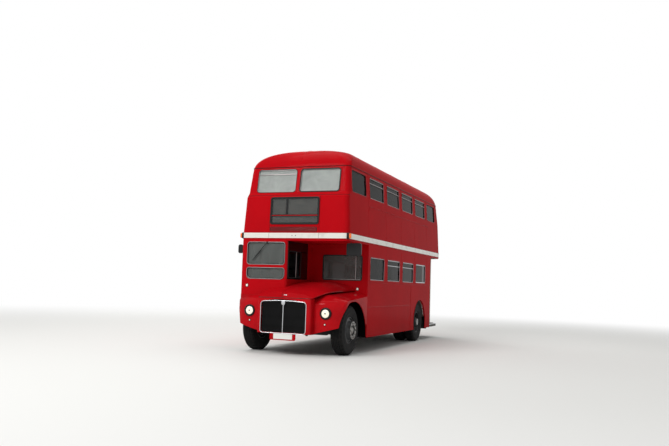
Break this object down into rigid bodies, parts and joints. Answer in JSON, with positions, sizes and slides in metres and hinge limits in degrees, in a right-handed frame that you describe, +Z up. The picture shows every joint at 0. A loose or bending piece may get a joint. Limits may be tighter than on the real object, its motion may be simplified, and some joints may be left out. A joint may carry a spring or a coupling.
{
  "type": "double decker bus",
  "caption": "Red half-cab double decker bus with a front engine under a domed bonnet, rounded body with a white band, and an open rear platform with stairs.",
  "frame": {"origin": "on the ground in the middle of the bounding box, under the middle of the bus", "axes": "the front faces -Y, +X is the kerb side with the platform, -X is the driver's side, +Z is up"},
  "size_m": [2.8, 8.395, 4.382],
  "materials": {
    "red_paint": "gloss",
    "white_paint": "gloss",
    "stair_paint": "satin",
    "box_black": "matte",
    "chrome": "polished",
    "slat_black": "satin",
    "window_glass": "clear",
    "lamp_glass": "clear",
    "red_lens": "gloss",
    "amber_lens": "gloss",
    "white_plate": "satin",
    "floor_boards": "matte",
    "seat_fabric": "matte",
    "driver_leather": "satin",
    "seat_steel": "satin",
    "pole_cover": "gloss",
    "chassis_black": "satin",
    "cast_metal": "rough",
    "black_plastic": "satin",
    "tyre_rubber": "matte",
    "rim_paint": "gloss"
  },
  "bodies": {
    "bus_body": {"cab_floor": "floor_boards", "cab_shell": "red_paint", "canopy_soffit": "white_paint", "cantrail_band": "white_paint", "destination_box": "box_black", "driver_seat": "driver_leather", "engine": "cast_metal", "front_axle": "chassis_black", "front_bulkhead": "red_paint", "grab_poles": "pole_cover", "grille_shell": "red_paint", "grille_slats": "slat_black", "grille_trim": "chrome", "headlamps": "chrome", "indicators": "amber_lens", "lamp_lenses": "lamp_glass", "lower_floor": "floor_boards", "lower_glass": "window_glass", "lower_side_left": "red_paint", "lower_side_right": "red_paint", "mirrors": "black_plastic", "number_plate": "white_plate", "platform": "floor_boards", "rear_axle": "chassis_black", "rear_wall": "red_paint", "roof": "red_paint", "seat_cushions": "seat_fabric", "seat_frames": "seat_steel", "side_lamps": "lamp_glass", "staircase": "stair_paint", "steering_column": "black_plastic", "tail_lamps": "red_lens", "underframe": "chassis_black", "upper_floor": "floor_boards", "upper_front": "red_paint", "upper_glass": "window_glass", "upper_rear": "red_paint", "upper_side_left": "red_paint", "upper_side_right": "red_paint", "wing_left": "red_paint", "wing_right": "red_paint"},
    "knuckle_left": {"knuckle_left": "cast_metal"},
    "knuckle_right": {"knuckle_right": "cast_metal"},
    "front_wheel_left": {"front_tyre_left": "tyre_rubber", "front_rim_left": "rim_paint"},
    "front_wheel_right": {"front_tyre_right": "tyre_rubber", "front_rim_right": "rim_paint"},
    "rear_wheels_left": {"rear_tyres_left": "tyre_rubber", "rear_rims_left": "rim_paint"},
    "rear_wheels_right": {"rear_tyres_right": "tyre_rubber", "rear_rims_right": "rim_paint"},
    "track_rod": {"track_rod": "chassis_black"},
    "steering_wheel": {"steering_wheel": "black_plastic"},
    "bonnet": {"bonnet": "red_paint"},
    "cab_door": {"cab_door": "red_paint", "cab_door_glass": "window_glass"},
    "emergency_window": {"emergency_window": "red_paint", "emergency_glass": "window_glass"}
  },
  "joints": [
    {"name": "steer_left", "type": "hinge", "parent": "bus_body", "child": "knuckle_left", "pos_m": [0.8, -3.3355, 0.515], "axis": [0, 0, 1], "range_deg": [-36, 36]},
    {"name": "steer_right", "type": "hinge", "parent": "bus_body", "child": "knuckle_right", "pos_m": [-0.8, -3.3355, 0.515], "axis": [0, 0, 1], "range_deg": [-36.5, 36.5]},
    {"name": "track_rod_pivot", "type": "hinge", "parent": "knuckle_left", "child": "track_rod", "pos_m": [0.8, -3.1155, 0.404], "axis": [0, 0, 1], "range_deg": [-36.5, 36.5]},
    {"name": "steering_wheel_turn", "type": "hinge", "parent": "bus_body", "child": "steering_wheel", "pos_m": [-0.68, -3.39, 1.6], "axis": [0, 0.5, 0.866], "range_deg": [-580, 580]},
    {"name": "front_left_spin", "type": "hinge", "parent": "knuckle_left", "child": "front_wheel_left", "pos_m": [1, -3.3355, 0.515], "axis": [1, 0, 0], "continuous": true},
    {"name": "front_right_spin", "type": "hinge", "parent": "knuckle_right", "child": "front_wheel_right", "pos_m": [-1, -3.3355, 0.515], "axis": [1, 0, 0], "continuous": true},
    {"name": "rear_left_spin", "type": "hinge", "parent": "bus_body", "child": "rear_wheels_left", "pos_m": [1, 1.7955, 0.515], "axis": [1, 0, 0], "continuous": true},
    {"name": "rear_right_spin", "type": "hinge", "parent": "bus_body", "child": "rear_wheels_right", "pos_m": [-1, 1.7955, 0.515], "axis": [1, 0, 0], "continuous": true},
    {"name": "bonnet_lift", "type": "hinge", "parent": "bus_body", "child": "bonnet", "pos_m": [0.175, -2.59, 1.505], "axis": [-1, 0, 0], "range_deg": [0, 36]},
    {"name": "cab_door_slide", "type": "slide", "parent": "bus_body", "child": "cab_door", "axis": [0, 1, 0], "range_m": [0, 0.41]},
    {"name": "emergency_window_swing", "type": "hinge", "parent": "bus_body", "child": "emergency_window", "pos_m": [-0.502, 4.11033, 3.6176], "axis": [0, -0.2497, 0.9683], "range_deg": [0, 90]}
  ],
  "couplings": [
    {"joint": "steer_right", "follows": "steer_left", "ratio": 1},
    {"joint": "track_rod_pivot", "follows": "steer_left", "ratio": -1},
    {"joint": "steering_wheel_turn", "follows": "steer_left", "ratio": 16}
  ]
}
